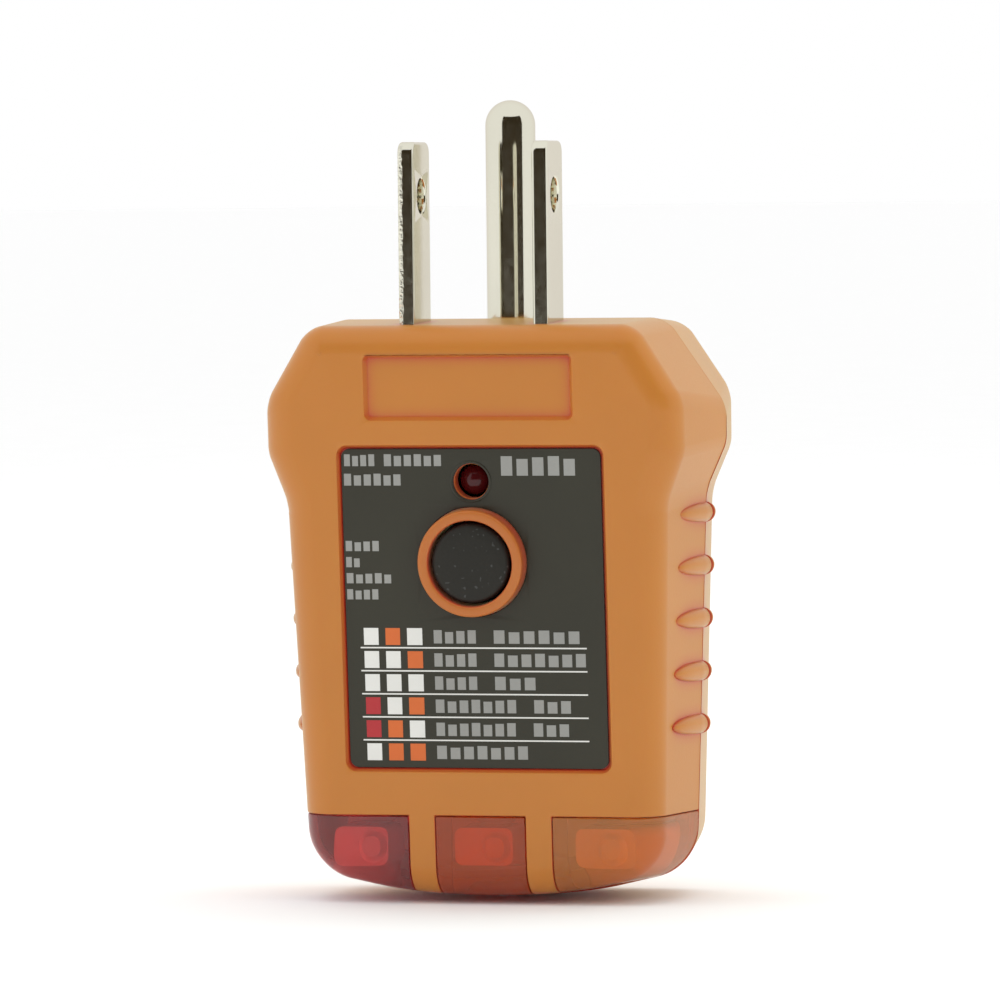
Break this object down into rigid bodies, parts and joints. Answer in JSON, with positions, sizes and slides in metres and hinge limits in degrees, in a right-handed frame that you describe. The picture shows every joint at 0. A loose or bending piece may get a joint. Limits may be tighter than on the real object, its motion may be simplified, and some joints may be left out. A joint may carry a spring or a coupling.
{
  "type": "outlet tester plug",
  "caption": "Plug-in outlet tester: waisted two-shell body, two flat blades and a ground pin on top, push button on the labelled face, lamp windows round the foot.",
  "frame": {"origin": "on the plug face that meets the outlet, midway between the two flat blades", "axes": "+Z out along the prongs, +X to the right as the label is read, +Y from the labelled face to the back"},
  "size_m": [0.0432, 0.0231, 0.0744],
  "materials": {
    "orange_shell": "fine matt moulded",
    "label_print": "printed film",
    "paper_label": "printed paper film",
    "button_black": "matt",
    "spring_steel": "drawn wire",
    "switch_black": "moulded",
    "tinned_wire": "tinned",
    "board_green": "solder mask",
    "nickel_plate": "polished nickel plate",
    "carrier_plastic": "moulded",
    "red_window": "clear tinted",
    "amber_red_window": "clear tinted",
    "amber_window": "clear tinted",
    "lamp_clear": "clear epoxy",
    "white_reflector": "moulded",
    "status_red": "diffused epoxy",
    "resistor_tan": "lacquer",
    "resistor_blue": "lacquer",
    "wire_white": "PVC",
    "wire_black": "PVC",
    "wire_green": "PVC",
    "solder": "bright solder",
    "screw_steel": "zinc plated"
  },
  "bodies": {
    "housing": {"front_shell": "orange_shell", "back_shell": "orange_shell", "face_label": "label_print", "rear_label": "paper_label", "button_spring": "spring_steel", "switch_housing": "switch_black", "switch_legs": "tinned_wire", "circuit_board": "board_green", "left_blade": "nickel_plate", "right_blade": "nickel_plate", "ground_pin": "nickel_plate", "prong_carrier": "carrier_plastic", "left_lens": "red_window", "middle_lens": "amber_red_window", "right_lens": "amber_window", "left_lamp": "lamp_clear", "middle_lamp": "lamp_clear", "right_lamp": "lamp_clear", "lamp_leads": "tinned_wire", "light_divider": "white_reflector", "status_lamp": "status_red", "status_leads": "tinned_wire", "lamp_resistors": "resistor_tan", "test_resistor": "resistor_blue", "rectifier_diode": "switch_black", "left_wire": "wire_white", "right_wire": "wire_black", "ground_wire": "wire_green", "solder_joints": "solder", "case_screws": "screw_steel"},
    "button": {"test_button": "button_black"},
    "plunger": {"switch_plunger": "switch_black"}
  },
  "joints": [
    {"name": "button_press", "type": "slide", "parent": "housing", "child": "button", "axis": [0, 0.9971, 0.0767], "range_m": [0, 0.0008], "stiffness_N_per_m": 1500, "deforming": ["button_spring"]},
    {"name": "plunger_travel", "type": "slide", "parent": "housing", "child": "plunger", "axis": [0, 0.9971, 0.0767], "range_m": [0, 0.0008], "stiffness_N_per_m": 400}
  ],
  "couplings": [
    {"joint": "plunger_travel", "follows": "button_press", "ratio": 1}
  ]
}
